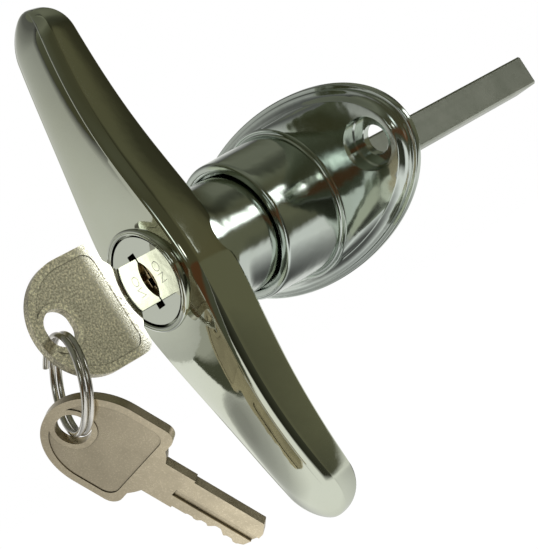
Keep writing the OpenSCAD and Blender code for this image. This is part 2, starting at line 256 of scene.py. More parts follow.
def make_plug_face():
    """Polished face on the plug; its sides and the keyway go greasy brown below the face, then to near
    black as painted shade deeper in.
    """
    mat, tree, bsdf = node_material("plug_face", PLUG_COLOR, PLUG_ROUGH)
    vec = coords(tree)
    below = minus(tree, split(tree, vec)[1], FACE_Y * MM)
    depth = times(tree, below, 1 / (GREASE_SHADE_DEPTH * MM))
    grease_shade_level = plus(tree, depth, times(tree, noise(tree, vec, scale=900, detail=4), 0.08))
    # greasy brown near the face, then painted shade to near black in the keyway and the gaps round the plug
    grease_and_shade = [(0.07, PLUG_COLOR), (0.2, (0.42, 0.36, 0.24)), (0.42, (0.30, 0.24, 0.15)),
              (0.62, (0.02, 0.02, 0.016))]
    feed(tree, bsdf, "Base Color", ramp(tree, grease_shade_level, grease_and_shade))
    feed(tree, bsdf, "Roughness", ramp(tree, grease_shade_level, [(0.07, PLUG_ROUGH), (0.3, 0.2)]))
    buffed(tree, bsdf, vec, PLUG_WAVE)
    return mat


def make_drawn_steel():
    """Dull zinc plate on a drawn bar: long grain along its length, blotches."""
    mat, tree, bsdf = node_material("zinc_steel", (0.42, 0.44, 0.39), 0.42)
    grain = noise(tree, coords(tree, (900, 14, 900)), scale=1, detail=5, rough=0.65)
    blotch = noise(tree, coords(tree), scale=120, detail=5)
    tones = [(0.3, (0.36, 0.385, 0.33)), (0.72, (0.50, 0.52, 0.46))]
    feed(tree, bsdf, "Base Color", ramp(tree, blotch, tones))
    feed(tree, bsdf, "Roughness", ramp(tree, grain, [(0.3, 0.34), (0.75, 0.52)]))
    bump(tree, bsdf, [(grain, 0.25, 0.05 * MM)])
    return mat


def make_plain_metal(name, color, rough):
    """Small metal pieces: tumbled surface with light blotches."""
    mat, tree, bsdf = node_material(name, color, rough)
    vec = coords(tree)
    blotch = noise(tree, vec, scale=300, detail=5)
    dark = tuple(c * 0.75 for c in color)
    feed(tree, bsdf, "Base Color", ramp(tree, blotch, [(0.3, dark), (0.7, color)]))
    feed(tree, bsdf, "Roughness", ramp(tree, blotch, [(0.3, rough * 1.3), (0.7, rough * 0.8)]))
    bump(tree, bsdf, [(noise(tree, vec, scale=1400, detail=3), 0.1, 0.03 * MM)])
    return mat


KEY_LEVEL = 1.25  # distance from a key's middle plane that counts as 1
KEY_NECK_Y = -56.5
NECK_RAGGED = 6.0  # unevenness of the line where the polish starts
NECK_FADE_PER_M = 300.0  # the polish fades in over 3 mm


def make_nickel(name, color, grain, rough, place=(0, 0, 0), turn=(0, 0, 0), neck=None):
    """Nickel plate on a stamped key: grain, scratches, worn patches, painted shade in the corners.

    A key with a neck is polished from the neck towards the tip.
    """
    mat, tree, bsdf = node_material(name, color, rough)
    vec = laid(tree, [c * MM for c in place], radians(turn))
    x, y, _ = split(tree, vec)
    wear = noise(tree, vec, scale=190, detail=6, rough=0.6)
    speck = noise(tree, vec, scale=2400, detail=4, rough=0.72)
    scratch = noise(tree, stretched(tree, vec, (400, 300, 2600)), scale=1, detail=3, rough=0.7)
    worn = ramp(tree, wear, [(0.3, tuple(c * 0.86 for c in color)), (0.6, color)])
    low, high = 1 - 0.75 * grain, 1 + 0.9 * grain
    spots = ramp(tree, speck, [(0.38, (low, low, low * 0.97)), (0.5, 0.88), (0.64, high)])
    level = times(tree, math_node(tree, "ABSOLUTE", x), 1 / (KEY_LEVEL * MM))
    # painted shade: the recessed panel a little darker than the raised border, with a dark line along the
    # step between them
    panel_step_shade = ramp(tree, level, [(0.66, 0.86), (0.69, 0.5), (0.745, 0.6), (0.77, 1.0)])
    mottled_and_shaded = tinted(tree, tinted(tree, worn, spots), panel_step_shade)
    # painted shade in the key's inner corners, such as the panel's step and the blade's groove
    mottled_and_shaded = tinted(tree, mottled_and_shaded, painted_corner_shade(tree, reach=0.7, dark=0.3))
    if neck is None:
        feed(tree, bsdf, "Base Color", mottled_and_shaded)
        feed(tree, bsdf, "Roughness", ramp(tree, wear, [(0.3, rough * 1.2), (0.7, rough * 0.8)]))
        bump(tree, bsdf, [(scratch, 0.10, 0.02 * MM), (speck, 0.3 * grain, 0.1 * MM)])
        return mat
    ragged = times(tree, minus(tree, speck, 0.5), NECK_RAGGED * MM)
    edge = plus(tree, minus(tree, neck * MM, y), ragged)
    bow = ramp(tree, times(tree, edge, NECK_FADE_PER_M), [(0.0, 0.0), (1.0, 1.0)])
    bright = ramp(tree, wear, [(0.3, (0.70, 0.68, 0.59)), (0.6, (0.82, 0.80, 0.71))])
    feed(tree, bsdf, "Base Color", mix(tree, "MIX", bow, bright, mottled_and_shaded))
    feed(tree, bsdf, "Roughness", ramp(tree, bow, [(0.0, 0.07), (1.0, rough)]))
    bump(tree, bsdf, [(scratch, 0.06, 0.02 * MM), (times(tree, speck, bow), 0.3 * grain, 0.1 * MM)])
    return mat


CHROME = make_chrome("chrome_plate", (0.60, 0.63, 0.525), rough=0.05, wave=0.16)
CAST = make_chrome("chrome_casting", (0.58, 0.635, 0.585), rough=0.105, wave=0.7)
PLUG = make_chrome("plug_plate", PLUG_COLOR, PLUG_ROUGH, PLUG_WAVE)
PLUG_FACE = make_plug_face()
ZINC = make_drawn_steel()
KEY_GRAIN = make_nickel("key_nickel_grain", (0.74, 0.69, 0.50), grain=0.6, rough=0.4, neck=KEY_NECK_Y)
KEY_FINE = make_nickel("key_nickel", (0.75, 0.655, 0.465), grain=0.12, rough=0.3,
                       place=KEY_2_PLACE, turn=KEY_2_TURN)
RING = make_plain_metal("ring_nickel", (0.74, 0.72, 0.66), 0.18)
RAW = make_plain_metal("raw_casting", (0.50, 0.51, 0.48), 0.42)
BRASS = make_plain_metal("wafer_brass", (0.74, 0.56, 0.27), 0.3)
PIN = make_plain_metal("pin_steel", (0.5, 0.5, 0.5), 0.28)
SPRING = make_plain_metal("spring_steel", (0.3, 0.3, 0.31), 0.35)


# meshes

CREASE, BAR_CREASE, BASE_CREASE, SOLID_CREASE = 28.0, 11, 30, 25  # degrees
CLEAN = 0.004 * MM


def point_mesh(name, verts, faces, unit=MM):
    """A mesh from vertices in millimetres, or in another unit."""
    mesh = bpy.data.meshes.new(name)
    mesh.from_pydata([Vector(v) * unit for v in verts], [], faces)
    mesh.update()
    return mesh


def add_object(name, data):
    """An object in the scene."""
    obj = bpy.data.objects.new(name, data)
    bpy.context.collection.objects.link(obj)
    return obj


def shade(mesh, angle=CREASE):
    """Smooth shading with edges above an angle kept sharp."""
    mesh.shade_smooth()
    mesh.set_sharp_from_angle(angle=math.radians(angle))


def mesh_object(name, verts, faces, mat, body, angle=CREASE):
    """An object from vertices in millimetres, smooth shaded with creases kept, riding on a body."""
    mesh = point_mesh(name, verts, faces)
    obj = add_object(name, mesh)
    mesh.materials.append(mat)
    shade(mesh, angle)
    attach(obj, body)
    return obj


def oval(a, b, y, steps):
    """Closed ring of points round the Y axis, with half sizes a along X and b along Z."""
    turns = [2 * math.pi * j / steps for j in range(steps)]
    return [(a * math.cos(t), y, -b * math.sin(t)) for t in turns]


def skin(rings, caps=True):
    """Vertices and faces of a closed skin over a row of closed rings."""
    n = len(rings[0])
    verts = [p for ring in rings for p in ring]
    faces = []
    for i in range(len(rings) - 1):
        for j in range(n):
            k = (j + 1) % n
            faces.append((i * n + j, i * n + k, (i + 1) * n + k, (i + 1) * n + j))
    if caps:
        faces.append(tuple(range(n - 1, -1, -1)))
        last = (len(rings) - 1) * n
        faces.append(tuple(last + j for j in range(n)))
    return verts, faces


def turned_over(faces):
    """Faces that look the other way."""
    return [tuple(reversed(f)) for f in faces]


def lathe(profile, steps=128, closed=True):
    """Skin turned round the Y axis from (radius, y) points; a closed profile makes a ring."""
    rings = [oval(r, r, y, steps) for r, y in profile]
    if closed:
        rings.append(rings[0])
        verts, faces = skin(rings, caps=False)
        n = steps * (len(rings) - 1)
        faces = [tuple(v % n for v in f) for f in faces]
        return verts[:n], faces
    return skin(rings)


def cut_with(obj, tools):
    """Cut closed tool meshes out of an object and drop the tools."""
    for tool in tools:
        mod = obj.modifiers.new("cut", "BOOLEAN")
        mod.operation = "DIFFERENCE"
        mod.solver = "EXACT"
        mod.object = tool
    bpy.context.view_layer.update()
    graph = bpy.context.evaluated_depsgraph_get()
    result = bpy.data.meshes.new_from_object(obj.evaluated_get(graph))
    obj.modifiers.clear()
    obj.data = result
    clean = bmesh.new()
    clean.from_mesh(result)
    bmesh.ops.remove_doubles(clean, verts=clean.verts, dist=CLEAN)
    bmesh.ops.triangulate(clean, faces=[f for f in clean.faces if len(f.verts) > 4])
    bmesh.ops.dissolve_degenerate(clean, edges=clean.edges, dist=CLEAN)
    clean.to_mesh(result)
    clean.free()
    for tool in tools:
        bpy.data.objects.remove(tool)


# tools: bare closed meshes used only to cut

def tool_object(verts, faces):
    """A tool from vertices in millimetres."""
    return add_object("tool", point_mesh("tool", verts, faces))


def block(low, high):
    """A box between two corners."""
    xs, ys, zs = zip(low, high)
    corners = [(x, y, z) for x in xs for y in ys for z in zs]
    sides = [(0, 1, 3, 2), (4, 6, 7, 5), (0, 4, 5, 1), (2, 3, 7, 6), (0, 2, 6, 4), (1, 5, 7, 3)]
    return tool_object(corners, sides)


def turned_tool(profile, steps, x=0.0):
    """A solid turned from (radius, y) points round an axis along Y at x."""
    verts, faces = lathe(profile, steps, closed=False)
    return tool_object([(px + x, py, pz) for px, py, pz in verts], faces)


def bore(r, y0, y1, x=0.0, steps=128):
    """A cylinder along Y."""
    return turned_tool([(r, y0), (r, y1)], steps, x)


def cross_bore(r, y, z0, z1):
    """A cylinder along Z."""
    verts, faces = lathe([(r, z0), (r, z1)], 48, closed=False)
    return tool_object([(px, y - pz, py) for px, py, pz in verts], faces)


# T bar: its outline along Z, then its section

BAR_TAPER, BAR_SWELL = 0.8, 26
BOW_SPAN, BOW_POWER, BACK_BOW = 0.45 * BAR_LEN, 2.4, 1.5
CROWN = 1.35  # fall of the front face from its middle to the band
BAND_W, BAND_D, BAND_ANGLE = 1.6, 2.05, 62
RIDGE_D = 3.4  # depth of the ridge, CROWN and BAND_D together
RIDGE = [(0.012, 0.1), (0.004, 0.2), (-0.012, 0.3)]  # out and back from the ridge
SIDE_LEAN, SIDE_CURVE, SIDE_IN = 0.33, 0.3, 0.63
BACK_R, BACK_IN = 1.0, 1.63
FACE_STEPS, BAND_STEPS, SIDE_STEPS, EDGE_STEPS, BACK_STEPS = 14, 10, 8, 5, 6
HALF_LEVELS = 60
CAP_ANGLES = range(80, -1, -5)
BEZEL_SEAT_R = 10.9


def bar_half(z):
    """Half width: swollen at the middle, tapering towards the ends."""
    mid = BAR_MID / 2 - BAR_END / 2 - BAR_TAPER
    swell = mid * math.exp(-(z / BAR_SWELL) ** 2)
    return BAR_END / 2 + BAR_TAPER + swell - BAR_TAPER * abs(z) / (BAR_LEN / 2)


def bar_front(z):
    """Y of the front face, bowed back at the ends."""
    return FACE_Y + BAR_BOW * (abs(z) / BOW_SPAN) ** BOW_POWER


def bar_back(z):
    """Y of the back face."""
    return FACE_Y + BAR_DEPTH + BACK_BOW * (abs(z) / BOW_SPAN) ** 2


def bar_side(w, yf, yb):
    """Half section: crowned face, rounded band, ridge, slightly curved side, rounded back edge."""
    wf = w - BAND_W
    pts = [(wf * i / FACE_STEPS, yf + CROWN * (i / FACE_STEPS) ** 2) for i in range(FACE_STEPS + 1)]
    top = math.radians(BAND_ANGLE)
    for i in range(1, BAND_STEPS + 1):
        a = top * i / BAND_STEPS
        x = wf + BAND_W * math.sin(a) / math.sin(top)
        y = yf + CROWN + BAND_D * (1 - math.cos(a)) / (1 - math.cos(top))
        pts.append((x, y))
    y0, y1 = yf + RIDGE_D, yb - BACK_R
    pts += [(w + out, y0 + deep) for out, deep in RIDGE]
    for i in range(1, SIDE_STEPS + 1):
        t = i / SIDE_STEPS
        pts.append((w - SIDE_LEAN * t - SIDE_CURVE * t * t, y0 + (y1 - y0) * t))
    for i in range(1, EDGE_STEPS + 1):
        a = math.radians(90 * i / EDGE_STEPS)
        pts.append((w - SIDE_IN - BACK_R + BACK_R * math.cos(a), yb - BACK_R + BACK_R * math.sin(a)))
    pts += [((w - BACK_IN) * (1 - i / BACK_STEPS), yb) for i in range(1, BACK_STEPS + 1)]
    return pts


def bar_ring(z):
    """Full section of the bar at a height, closing into round ends."""
    half = bar_side(bar_half(z), bar_front(z), bar_back(z))
    full = half + [(-x, y) for x, y in reversed(half[1:-1])]
    t = (abs(z) - BAR_LEN / 2 + CAP_L) / CAP_L
    k = math.sqrt(max(0.0, 1 - t * t)) if t > 0 else 1.0
    return [(x * k, CAP_Y + (y - CAP_Y) * k, z) for x, y in full]


def build_bar():
    """The bar, bored for the sleeve and its bezel."""
    ends = [math.sin(math.radians(a)) for a in CAP_ANGLES]
    straight = BAR_LEN / 2 - CAP_L
    levels = [-straight - CAP_L * t for t in ends]
    levels += [straight * i / HALF_LEVELS for i in range(1 - HALF_LEVELS, HALF_LEVELS)]
    levels += [straight + CAP_L * t for t in reversed(ends)]
    verts, faces = skin([bar_ring(z) for z in levels])
    obj = mesh_object("t_bar", verts, faces, CHROME, "handle", BAR_CREASE)
    cut_with(obj, [bore(BEZEL_SEAT_R, y0=-60, y1=-45), bore(SLEEVE_BORE_R, y0=-50, y1=-20)])
    shade(obj.data, BAR_CREASE)
    return obj


# stem: levels along Y, wider where it grows out of the bar, thinner in the base

STEM_LEVELS = [-40, -36, -34.6, -34, -33.4, -32.8, -32, -31, -29.5, -27, -24, -22.5, -21.5, -20.2,
               -19.6, -19.5, -19.4, -10, -0.8, -0.4]
STEM_STEPS = 128
FLARE_Y, FLARE_L, FLARE_OUT = -29.0, 6.0, 3.2
TAIL_Y, TAIL_R = -19.5, 10.5
DRIVE_PIN_ROOM_R = 4.06
BOLT_TAIL_X, BOLT_PLAY = -6.2, 0.1


def build_stem():
    """The stem, cut for the sleeve, the drive pin, the bolt, the spindle and the sleeve's pin."""
    rings = []
    for y in STEM_LEVELS:
        flare = max(0.0, (FLARE_Y - y) / FLARE_L) ** 2
        ring = []
        for j in range(STEM_STEPS):
            a = 2 * math.pi * j / STEM_STEPS
            r = STEM_R + min(flare, 1.0) * FLARE_OUT * math.sin(a) ** 2
            if y >= TAIL_Y:
                r = TAIL_R
            ring.append((r * math.cos(a), y, -r * math.sin(a)))
        rings.append(ring)
    verts, faces = skin(rings)
    obj = mesh_object("stem", verts, faces, CAST, "handle")
    socket = SPINDLE_W / 2 + 0.03
    y0, y1, half = BOLT_Y - BOLT_PLAY, BOLT_Y + BOLT_T + BOLT_PLAY, BOLT_HALF + BOLT_PLAY
    cut_with(obj, [
        bore(SLEEVE_BORE_R, y0=-50, y1=SLEEVE_END + 2),
        bore(DRIVE_PIN_ROOM_R, y0=SLEEVE_END, y1=BOLT_Y + 0.5),
        block((BOLT_TAIL_X, y0, -half), (STEM_R, y1, half)),
        block((-socket, SPINDLE_Y, -socket), (socket, 1, socket)),
        cross_bore(PIN_BORE_R, SLEEVE_PIN_Y, z0=-STEM_R - 1, z1=0),
    ])
    shade(obj.data)
    return obj


bar = build_bar()
stem = build_stem()
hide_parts("t_handle")
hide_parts("t_handle")


# base: the rim as (inset from the outline, height) points, the dome up to a round foot, a flat top in it

RIM = [(0, 0.0), (0, 0.95), (0.05, 1.08), (0.18, 1.2), (0.34, 1.25), (0.85, 1.27), (0.98, 1.34),
       (1.04, 1.5), (1.08, 1.8), (1.14, 1.93), (1.28, 2.0), (1.6, 2.06), (1.95, 2.2), (2.3, 2.42),
       (2.6, 2.68), (2.86, 2.98), (3.05, 3.28), (3.16, 3.4), (3.3, 3.45)]
BASE_STEPS, SCREW_STEPS, SEAT_STEPS = 360, 96, 126
FOOT_R = HUB_R + 0.6
DOME_RISE, DOME_POWER, DOME_STEPS = 2.2, 1.6, 40
TOP_IN, TOP_UP, TOP_STEPS = 0.097, 0.02, 10
SCREW_RECESS = [(SCREW_HEAD_R, -9.0), (SCREW_HEAD_R, -2.0), (SCREW_HEAD_R - 0.3, -1.7),
                (SCREW_R + 0.2, -1.7), (SCREW_R, -1.5), (SCREW_R, 1.0)]
STEM_SEAT = [(12.0, -9.0), (12.0, -3.2), (14.5, -3.2), (14.5, 1.0)]
RAW_DEPTH, RAW_FACING = 3.3, 0.7
POCKET_X, POCKET_Z, POCKET_D = 31.3, 5.4, 1.2
STEM_BOSS_R, SCREW_BOSS_R = 16.5, 7.6
MOUTH_Y, MOUTH_NEAR, MOUTH_DROP, MOUTH_W = -2.6, 0.03, 0.6, 0.28


def build_pockets():
    """A tool for shallow hollows in the back, between the stem's boss and the screws' bosses."""
    tool = block((-POCKET_X, -POCKET_D, -POCKET_Z), (POCKET_X, 1, POCKET_Z))
    bosses = ((0, STEM_BOSS_R), (-SCREW_X, SCREW_BOSS_R), (SCREW_X, SCREW_BOSS_R))
    cut_with(tool, [bore(r, -5, 3, x, SCREW_STEPS) for x, r in bosses])
    return tool


def round_mouths(obj):
    """Softens the edge where each screw recess meets the dome."""
    mesh = obj.data
    weight = mesh.attributes.new("bevel_weight_edge", "FLOAT", "EDGE")

    def on_mouth(v):
        x, y, z = (c / MM for c in mesh.vertices[v].co)
        off = abs(math.hypot(abs(x) - SCREW_X, z) - SCREW_HEAD_R)
        return y < MOUTH_Y and off < MOUTH_NEAR

    for edge in mesh.edges:
        a, b = edge.vertices
        drop = abs(mesh.vertices[a].co.y - mesh.vertices[b].co.y)
        if on_mouth(a) and on_mouth(b) and drop < MOUTH_DROP * MM:
            weight.data[edge.index].value = 1.0
    mod = obj.modifiers.new("mouths", "BEVEL")
    mod.limit_method = "WEIGHT"
    mod.width = MOUTH_W * MM
    mod.segments = 3


def build_base():
    """The base plate with its screw recesses, the stem's seat and a raw back."""
    rings = [oval(BASE_A - inset, BASE_B - inset, -h, BASE_STEPS) for inset, h in RIM]
    a, b = BASE_A - RIM_IN, BASE_B - RIM_IN
    for i in range(1, DOME_STEPS + 1):
        t = i / DOME_STEPS
        h = RIM_H + DOME_RISE * (1 - (1 - t) ** DOME_POWER)
        rings.append(oval(a + (FOOT_R - a) * t, b + (FOOT_R - b) * t, -h, BASE_STEPS))
    for i in range(1, TOP_STEPS + 1):
        r = FOOT_R * (1 - TOP_IN * i)
        rings.append(oval(r, r, -(RIM_H + DOME_RISE + TOP_UP * i), BASE_STEPS))
    verts, faces = skin(rings)
    obj = mesh_object("base_plate", verts, turned_over(faces), CAST, "base")
    tools = [turned_tool(SCREW_RECESS, SCREW_STEPS, x) for x in (-SCREW_X, SCREW_X)]
    tools += [turned_tool(STEM_SEAT, SEAT_STEPS), build_pockets()]
    cut_with(obj, tools)
    obj.data.materials.append(RAW)
    for face in obj.data.polygons:
        if face.normal.y > RAW_FACING and face.center.y > -RAW_DEPTH * MM:
            face.material_index = 1
    round_mouths(obj)
    shade(obj.data, BASE_CREASE)
    return obj


# hub: the bead at its foot as (out from the hub, y) points, a leaning wall, a rounded lip, the bore

BEAD = [(1.3, -3.6), (1.3, -5.75), (1.22, -5.9), (1.05, -5.98), (0.85, -5.97), (0.7, -5.88), (0.6, -5.8)]
FILLET_R, FILLET_Y = 0.6, -5.8
HUB_LEAN, WALL_Y, WALL_L, WALL_STEPS = 0.5, -6.4, 15.1, 10
LIP_R, LIP_Y = 0.8, -21.5
ROUND_STEPS, HUB_STEPS = 6, 192
HUB_BORE = [(13.9, -22.3), (13.6, -22.15), (13.5, -21.9), (13.5, -19.3), (10.58, -19.3), (10.58, -3.2),
            (14.5, -3.2)]
NOTCH_PLAY, NOTCH_SIDE_PLAY = 0.15, 0.2


def build_hub():
    """Slightly conical hub with a bore for the stem and two notches for the bolt."""
    profile = [(HUB_R + out, y) for out, y in BEAD]
    quarter = [math.radians(90 * i / ROUND_STEPS) for i in range(1, ROUND_STEPS + 1)]
    for a in quarter:
        profile.append((FOOT_R - FILLET_R * math.sin(a), FILLET_Y - FILLET_R * (1 - math.cos(a))))
    for t in range(1, WALL_STEPS + 1):
        profile.append((HUB_R - HUB_LEAN * t / WALL_STEPS, WALL_Y - WALL_L * t / WALL_STEPS))
    for a in quarter:
        profile.append((HUB_R - HUB_LEAN - LIP_R + LIP_R * math.cos(a), LIP_Y - LIP_R * math.sin(a)))
    profile += HUB_BORE
    verts, faces = lathe(profile, HUB_STEPS)
    obj = mesh_object("hub", verts, faces, CAST, "base")
    y0, y1 = BOLT_Y - NOTCH_PLAY, BOLT_Y + BOLT_T + NOTCH_PLAY
    half = BOLT_HALF + NOTCH_SIDE_PLAY
    cut_with(obj, [
        block((0, y0, -half), (BOLT_NOTCH, y1, half)),
        block((-half, y0, -BOLT_NOTCH), (half, y1, 0)),
    ])
    shade(obj.data)
    return obj


base = build_base()
hub = build_hub()
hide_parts("base_escutcheon")
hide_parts("base_escutcheon")


# lock sleeve with its polished bezel as (radius, y) points, and the mark on the plug's face

BEZEL = [(11.3, -47.2), (11.3, -48.3), (11.26, -48.45), (11.15, -48.6), (11.0, -48.7), (10.86, -48.73),
         (10.8, -48.66), (10.74, -48.55), (10.66, -48.55), (10.6, -48.66), (10.5, -48.74), (10.36, -48.75),
         (10.22, -48.68), (10.12, -48.55), (10.08, -48.35), (10.08, -45.9), (8.06, -45.9),
         (8.06, SLEEVE_END), (SLEEVE_R, SLEEVE_END), (SLEEVE_R, -47.2)]
BEZEL_STEPS = 160
WAFER_SIDE_PLAY, WAFER_END_PLAY = 0.2, 1
MARK_SIZE, MARK_THIN, MARK_T, MARK_SUNK, MARK_X = 3.2, -0.08, 0.02, 0.01, 5.2


def build_bezel():
    """Sleeve and bezel, with grooves for the wafers and a hole for the sleeve's pin."""
    verts, faces = lathe(BEZEL, BEZEL_STEPS)
    obj = mesh_object("bezel_sleeve", verts, faces, PLUG, "handle")
    half, y0, y1 = WAFER_X + WAFER_SIDE_PLAY, WAFER_Y0 - WAFER_END_PLAY, WAFER_Y1 + WAFER_END_PLAY
    cut_with(obj, [
        block((-half, y0, -WAFER_OUT), (half, y1, WAFER_OUT)),
        block((-WAFER_OUT, y0, -half), (WAFER_OUT, y1, half)),
        cross_bore(PIN_BORE_R, SLEEVE_PIN_Y, z0=-SLEEVE_R - 1, z1=-SLEEVE_R + 1.4),
    ])
    shade(obj.data)
    return obj


def build_mark():
    """The letters ON beside the keyway, cut as thin dark lines."""
    curve = bpy.data.curves.new("mark", "FONT")
    curve.body = "ON"
    curve.size = MARK_SIZE * MM
    curve.align_x = curve.align_y = "CENTER"
    curve.offset = MARK_THIN * MM
    curve.extrude = MARK_T * MM
    text = add_object("mark", curve)
    bpy.context.view_layer.update()
    graph = bpy.context.evaluated_depsgraph_get()
    mesh = bpy.data.meshes.new_from_object(text.evaluated_get(graph))
    bpy.data.objects.remove(text)
    for v in mesh.vertices:
        v.co = Vector((MARK_X * MM + v.co.y, FACE_Y * MM + MARK_SUNK * MM + v.co.z, -v.co.x))
    mesh.flip_normals()
    mesh.materials.clear()
    mesh.materials.append(PIN)
    obj = add_object("on_mark", mesh)
    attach(obj, "plug")


bezel = build_bezel()
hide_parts("lock_sleeve")
build_mark()


# split ring: two turns of wire beside each other

WIRE_R, WIRE_PITCH, WIRE_START = 0.6, 1.35, 125
WIRE_STEPS, WIRE_SIDES = 160, 16


def build_ring():
    """Wire wound twice round, from one loose end to the other."""
    mid = RING_AT + RING_R * RING_OUT
    rings = []
    for i in range(2 * WIRE_STEPS + 1):
        t = i / WIRE_STEPS
        a = math.radians(WIRE_START + 360 * t)
        z = WIRE_PITCH * (t - 1)
        ring = []
        for j in range(WIRE_SIDES):
            b = 2 * math.pi * j / WIRE_SIDES
            reach = RING_R + WIRE_R * math.cos(b)
            p = Vector((reach * math.cos(a), reach * math.sin(a), z + WIRE_R * math.sin(b)))
            ring.append(tuple(mid + RING_TURN @ p))
        rings.append(ring)
    verts, faces = skin(rings)
    return mesh_object("split_ring", verts, turned_over(faces), RING, "key_ring")


ring = build_ring()
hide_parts("key_ring")


# carried-over solids: finish and softened edges

FINISH = {"spindle": ZINC, "thrust_washer": ZINC, "lock_bolt": ZINC, "spindle_pin": PIN,
          "sleeve_pin": PIN, "drive_pin": PIN, "snap_ring": SPRING, "plug_clip": SPRING,
          "lock_plug": PLUG_FACE, "key_1": KEY_GRAIN, "key_2": KEY_FINE}
FINISH.update({f"wafer_{i}": BRASS for i in range(1, 6)})
FINISH.update({f"wafer_spring_{i}": SPRING for i in range(1, 6)})
SOFT_EDGES = {"key_1": 0.22, "key_2": 0.22, "spindle": 0.25}
SOFT_ANGLE = 32
for name, mat in FINISH.items():
    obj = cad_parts[name]
    obj.data.materials.clear()
    obj.data.materials.append(mat)
    shade(obj.data, SOLID_CREASE)
for name, width in SOFT_EDGES.items():
    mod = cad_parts[name].modifiers.new("edges", "BEVEL")
    mod.width = width * MM
    mod.segments = 3
    mod.limit_method = "ANGLE"
    mod.angle_limit = math.radians(SOFT_ANGLE)


# camera directions, used by the stage and the camera

AZ, EL, ROLL, DIST = math.radians(50.0), math.radians(-2.14), math.radians(32.27), 358.86
look = Vector((-math.sin(AZ) * math.cos(EL), math.cos(AZ) * math.cos(EL), -math.sin(EL)))
right = Vector((math.cos(AZ), math.sin(AZ), 0))
up = right.cross(look)
ahead = Vector((look.x, look.y, 0)).normalized()


# stage and light, in metres

SQUARE = [(0, 1, 2, 3)]
CORNERS = ((0, 0), (1, 0), (1, 1), (0, 1))
FLOOR_Z, FLOOR_HALF, FLOOR_AHEAD, FLOOR_LEFT = -0.064, 2.2, 0.8, 0.6
TABLE_Z, TABLE_HALF = FLOOR_Z + 0.001, 1.6
PANEL_AZ, PANEL_SPAN, PANEL_STEPS = -142, 126, 40
PANEL_R, PANEL_LOW, PANEL_HIGH = 1.3, -0.12, 2.2
ROOM_R, ROOM_ROWS, ROOM_STEPS = 4, 24, 48


def glow(name, color, emit):
    """A material that only shines."""
    mat, tree, bsdf = node_material(name, (0, 0, 0), 0.9, 0.0)
    bsdf.inputs["Specular IOR Level"].default_value = 0.0
    bsdf.inputs["Emission Color"].default_value = (*color, 1)
    bsdf.inputs["Emission Strength"].default_value = emit
    return mat, tree, bsdf


def stage_mesh(name, verts, faces, mat, places=None):
    """A sheet of the studio from vertices in metres; places are its corners' spots on the sheet, 0 to 1."""
    mesh = point_mesh(name, verts, faces, unit=1.0)
    if places:
        layer = mesh.uv_layers.new(name="sheet")
        for loop in mesh.loops:
            layer.data[loop.index].uv = places[loop.vertex_index]
    mesh.shade_smooth()
    mesh.materials.append(mat)
    obj = add_object(name, mesh)
    return obj


def fade(tree, bsdf, color, soft):
    """Glow that dies away towards the sheet's border."""
    u, v = sheet_coords(tree)
    near = lesser(tree, lesser(tree, u, minus(tree, 1.0, u)), lesser(tree, v, minus(tree, 1.0, v)))
    dark = tuple(0.08 * c for c in color)
    feed(tree, bsdf, "Emission Color", ramp(tree, near, [(0.0, dark), (soft, color)]))


def aim(az, el):
    """Unit direction: azimuth from the front (-Y) towards +X, elevation above the floor, in degrees."""
    a, e = math.radians(az), math.radians(el)
    return Vector((math.sin(a) * math.cos(e), -math.cos(a) * math.cos(e), math.sin(e)))


def card(name, az, el, dist, wide, tall, color, emit, soft):
    """A soft panel that faces the lock; seen only in reflections."""
    d = aim(az, el)
    side = Vector((0, 0, 1)).cross(d).normalized()
    rise = d.cross(side)
    u, v = side * wide / 2, rise * tall / 2
    mat, tree, bsdf = glow(name, color, emit)
    fade(tree, bsdf, color, soft)
    mid = d * dist
    corners = [mid - u - v, mid + u - v, mid + u + v, mid - u + v]
    stage_mesh(name, corners, SQUARE, mat, CORNERS).visible_camera = False


def build_floor():
    """White floor under and behind the lock, left out of reflections."""
    mid = ahead * FLOOR_AHEAD - right * FLOOR_LEFT + Vector((0, 0, FLOOR_Z))
    signs = ((-1, -1), (1, -1), (1, 1), (-1, 1))
    corners = [mid + a * FLOOR_HALF * right + b * FLOOR_HALF * ahead for a, b in signs]
    mat, _, _ = glow("floor", (1, 1, 1), 1.02)
    stage_mesh("floor", corners, SQUARE, mat).visible_glossy = False


def build_panel():
    """Tall curved panel on the left and behind, brightest near the floor and towards its far end."""
    verts, faces, places = [], [], []
    for i in range(PANEL_STEPS + 1):
        d = aim(PANEL_AZ + PANEL_SPAN * i / PANEL_STEPS, 0) * PANEL_R
        for z, v in ((PANEL_LOW, 0.0), (PANEL_HIGH, 1.0)):
            verts.append(d + Vector((0, 0, z)))
            places.append((i / PANEL_STEPS, v))
        if i:
            faces.append((2 * i - 2, 2 * i, 2 * i + 1, 2 * i - 1))
    mat, tree, bsdf = glow("panel", (1.0, 1.0, 0.97), 1.0)
    u, v = sheet_coords(tree)
    rise = ramp(tree, v, [(0.0, 0.45), (0.06, 0.72), (0.15, 0.70), (0.28, 0.52), (0.5, 0.28),
                          (0.75, 0.14), (1.0, 0.12)])
    along = ramp(tree, u, [(0.0, 0.25), (0.09, 1.5), (0.24, 1.25), (0.36, 1.04), (0.93, 0.95),
                           (1.0, 0.15)])
    feed(tree, bsdf, "Emission Strength", times(tree, rise, along))
    stage_mesh("panel", verts, faces, mat, places).visible_camera = False


def spot(tree, place, turn, half):
    """Distance from the middle of an oval on the table with two half sizes, 1 at its border."""
    vector = laid(tree, place, (0, 0, math.radians(turn)), (*half, 1))
    length = tree.nodes.new("ShaderNodeVectorMath")
    length.operation = "LENGTH"
    tree.links.new(vector, length.inputs[0])
    return length.outputs["Value"]


